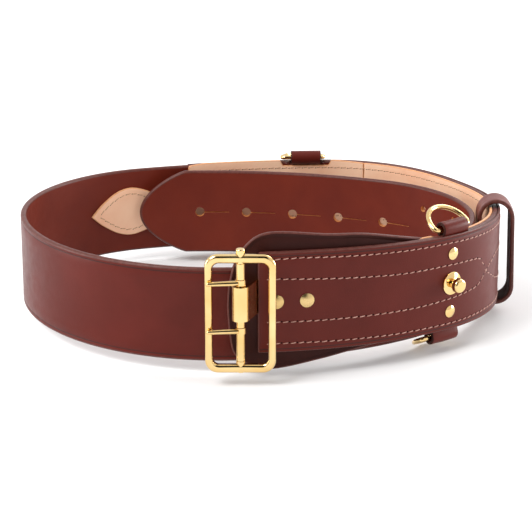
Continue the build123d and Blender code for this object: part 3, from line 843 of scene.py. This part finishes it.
def build_safe():
    """The wide backing behind the buckle. Its outline runs in plan x from a rounded end."""
    start_x, start_height, end_x = -22.4, 7.0, 96.0
    upper = smooth([(start_x, start_height), (-21.6, 19), (-18, 34), (-11, 44.5), (-3, 50), (9.6, 51.2),
                    (36.5, 48.1), (60, 45.8), (end_x, 37.0)], 10)
    lower = smooth([(start_x, start_height), (-21.6, -6), (-19, -21), (-11, -28.5), (3.5, -32.2),
                    (32.5, -27.9), (60.6, -23.2), (end_x, -20.0)], 10)
    count = 46
    rows = []
    for k in range(count + 1):
        x = start_x + (1 - cos(pi / 2 * k / count)) * (end_x - start_x)
        s = bisect(lambda v: plan(v, STRAP_THICK)[0], x, -30.0, 110.0)
        rows.append((s, along(lower, x), along(upper, x)))
    rows[0] = (rows[0][0], start_height, start_height)
    safe = layer("buckle_safe", rows, STRAP_THICK, STRAP_THICK + SAFE_THICK, caps=(False, True))
    dress(safe, "belt", "buckle_safe", "strap_leather", NEAR_BLACK_AND_SHADE, BROWN_EDGE, BROWN_INSIDE, NEAR_BLACK_AND_SHADE)


def chape_path(top, bottom, low_rise):
    """Depth and height of the chape's centre line, round both rolls."""
    radius, high_rise, axis = 3.55, 3.0, 4.0
    start = STRAP_THICK - 0.9
    steps = 14

    def roll(height, first_angle):
        angles = [radians(first_angle + 275 * k / steps) for k in range(steps + 1)]
        return [(axis + radius * cos(a), height + radius * sin(a)) for a in angles]

    path = roll(top + high_rise, -75)
    path += [(start - 1.0, top - 1.6), (start - 0.3, top - 4.0)]
    path += [(start, top - 6 + (bottom - top + 12) * k / steps) for k in range(steps + 1)]
    path += [(start - 0.3, bottom + 3.0), (start - 1.0, bottom + 0.2)]
    return path + roll(bottom - low_rise, 160)


def build_chape(name, upper, lower, low_rise):
    """A chape between an upper and a lower roll, each a (station, belt edge)."""
    (high_at, top), (low_at, bottom) = upper, lower

    def put(depth, height, across):
        share = min(1.0, max(0.0, (height - bottom) / (top - bottom)))
        return place(low_at + (high_at - low_at) * share + across, depth, height)

    path = chape_path(top, bottom, low_rise)
    chape = wrap(name, path, False, CHAPE_THICK, CHAPE_WIDTH, 0.5, put)
    # The chape's cut edges take the near-black colour as painted shade.
    dress(chape, "belt", name, "strap_leather", BROWN, NEAR_BLACK_AND_SHADE, BROWN_INSIDE)


def loop_path():
    """Radius and height of the running loop's centre line."""
    middle, half = (LOOP_INNER + LOOP_OUTER) / 2, (LOOP_OUTER - LOOP_INNER) / 2
    high, low = LOOP_TOP - LOOP_TOP_ARCH, LOOP_BOTTOM + LOOP_BOTTOM_ARCH
    turns = [pi * k / 24 for k in range(25)]
    path = [(middle + half * cos(a), high + LOOP_TOP_ARCH * sin(a)) for a in turns]
    path += [(LOOP_INNER, high + (low - high) * k / 14) for k in range(1, 14)]
    path += [(middle - half * cos(a), low - LOOP_BOTTOM_ARCH * sin(a)) for a in turns]
    path += [(LOOP_OUTER, low + (high - low) * k / 14) for k in range(1, 14)]
    return path


def build_running_loop():
    """The loose loop, which leans with the belt about the centre of its stretch of the route."""
    cx, cy, radius, heading, first, _ = ROUTE[LOOP_ARC]
    middle = heading + (LOOP_AT - first) / radius - pi / 2
    (x0, y0, _), (x1, y1, _) = plan(LEAN_FROM), plan(LEAN_TO)
    fall = -LEAN_DROP / ((x1 - x0) ** 2 + (y1 - y0) ** 2)
    slope = Vector((fall * (x1 - x0), fall * (y1 - y0), 0))
    level = LEAN_DROP + slope.dot(Vector((cx - x0, cy - y0, 0)))
    centre = Vector((cx - ORIGIN[0], cy - ORIGIN[1], level + STRAP_MID))
    up = Vector((-slope.x, -slope.y, 1)).normalized()
    east = Vector((1, 0, slope.x)).normalized()
    north = up.cross(east)

    def put(reach, height, across):
        a = middle + across / radius
        return (centre + east * (reach * cos(a)) + north * (reach * sin(a)) + up * height) * MM

    loop = wrap("running_loop", loop_path(), True, LOOP_THICK, LOOP_WIDTH, 0.9, put)
    dress(loop, "running_loop", "running_loop", "strap_leather", LOOP_OUT, BROWN_EDGE, LOOP_FLESH_SHADE)


build_strap()
build_facing()
build_lining()
build_safe()
build_chape("front_dee_chape", (FRONT_TOP_DEE_AT, FRONT_TOP), (FRONT_BOTTOM_DEE_AT, FRONT_BOTTOM), 4.4)
build_chape("back_dee_chape", (BACK_DEES_AT, STRAP_HALF), (BACK_DEES_AT, -STRAP_HALF), 3.0)
build_running_loop()
dress(stitches("facing_stitches", 4.2, -FACING_THICK, -1), "belt", None, None, THREAD, NEEDLE_HOLE_SHADE)
dress(stitches("lining_stitches", LINING_START + 3, STRAP_THICK + LINING_THICK, 1, **INSIDE_STITCH),
      "belt", None, None, THREAD_IN, NEEDLE_HOLE_SHADE)

# ---- brass from the CAD
BRASS_NODES = ("hook_plate", "hook_rivets", "hook_rivet_burrs", "front_dee_rivets", "front_dee_burrs",
               "back_dee_rivets", "back_dee_burrs", "belt_stud", "stud_screw", "centre_bar",
               "buckle_frame", "prong_upper", "prong_lower", "dee_front_top", "dee_front_bottom",
               "dee_back_top", "dee_back_bottom")
for obj in bpy.context.scene.objects:
    if obj.get("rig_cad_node") in BRASS_NODES:
        for slot in obj.material_slots:
            slot.material = SATIN_BRASS if "hook_rivets" in obj.name else BRASS


# ---- studio, in metres
def sheet(name, width, height):
    """Flat rectangle about its own middle."""
    bm = bmesh.new()
    corners = [(x * width / 2, y * height / 2, 0) for x, y in ((-1, -1), (1, -1), (1, 1), (-1, 1))]
    bm.faces.new([bm.verts.new(c) for c in corners])
    return finish_mesh(name, bm, 30)


def aim(obj, place_at, target, front):
    """Put an object at a place, with its front axis towards a target."""
    obj.location = place_at
    obj.rotation_euler = (Vector(target) - Vector(place_at)).to_track_quat(front, "Y").to_euler()


def floor():
    """Plain pale floor."""
    obj = sheet("floor", 12, 12)
    obj.data.materials.append(matt("floor_white", 3.0, (0.86, 0.86, 0.86, 1), (0.88, 0.88, 0.88, 1), 0.1))


def card(name, centre, width, height):
    """Dark studio card facing the belt, seen only in reflections."""
    obj = sheet(name, width, height)
    aim(obj, centre, (0, 0, 0.05), "Z")
    dark = (0.02, 0.018, 0.016, 1)
    obj.data.materials.append(matt(name, 2.0, dark, dark, 0.0))
    obj.visible_camera = False


def area_light(name, location, target, size, energy):
    """Square soft light."""
    light = bpy.data.lights.new(name, "AREA")
    light.shape = "SQUARE"
    light.size = size
    light.energy = energy
    obj = bpy.data.objects.new(name, light)
    bpy.context.scene.collection.objects.link(obj)
    aim(obj, location, target, "-Z")


def white_world():
    """Even white light from all round."""
    world = bpy.data.worlds.new("studio")
    bpy.context.scene.world = world
    world.use_nodes = True
    background = world.node_tree.nodes["Background"]
    background.inputs["Color"].default_value = (1, 1, 1, 1)
    background.inputs["Strength"].default_value = 1.0


def add_camera(location, down, lens):
    """Camera that looks along +Y and down by an angle in degrees."""
    data = bpy.data.cameras.new("camera")
    data.lens = lens
    data.sensor_width = 36.0
    data.clip_end = 30.0
    camera = bpy.data.objects.new("camera", data)
    bpy.context.scene.collection.objects.link(camera)
    camera.location = location
    camera.rotation_euler = (radians(90 - down), 0, 0)
    bpy.context.scene.camera = camera


floor()
card("dark_card_front", (0.1, -2.3, 0.85), 1.8, 1.2)
card("dark_card_high", (0.1, -1.4, 1.5), 1.7, 1.3)
card("dark_card_left", (-1.6, -0.9, 0.3), 0.7, 0.5)
area_light("key", (-1.0, -0.8, 1.5), (0, 0, 0), 0.9, 26.0)
area_light("rim", (0.9, 1.1, 1.2), (0, 0, 0.03), 0.7, 10.0)
area_light("side_right", (1.25, 0.2, 0.25), (0.1, 0, 0.04), 0.5, 12.0)
area_light("side_left", (-1.2, -0.1, 0.3), (-0.1, 0, 0.04), 0.5, 5.0)
white_world()
add_camera((-0.00068, -1.19979, 0.42596), 18.3156, 135.34)
bpy.context.scene.view_settings.view_transform = "Standard"
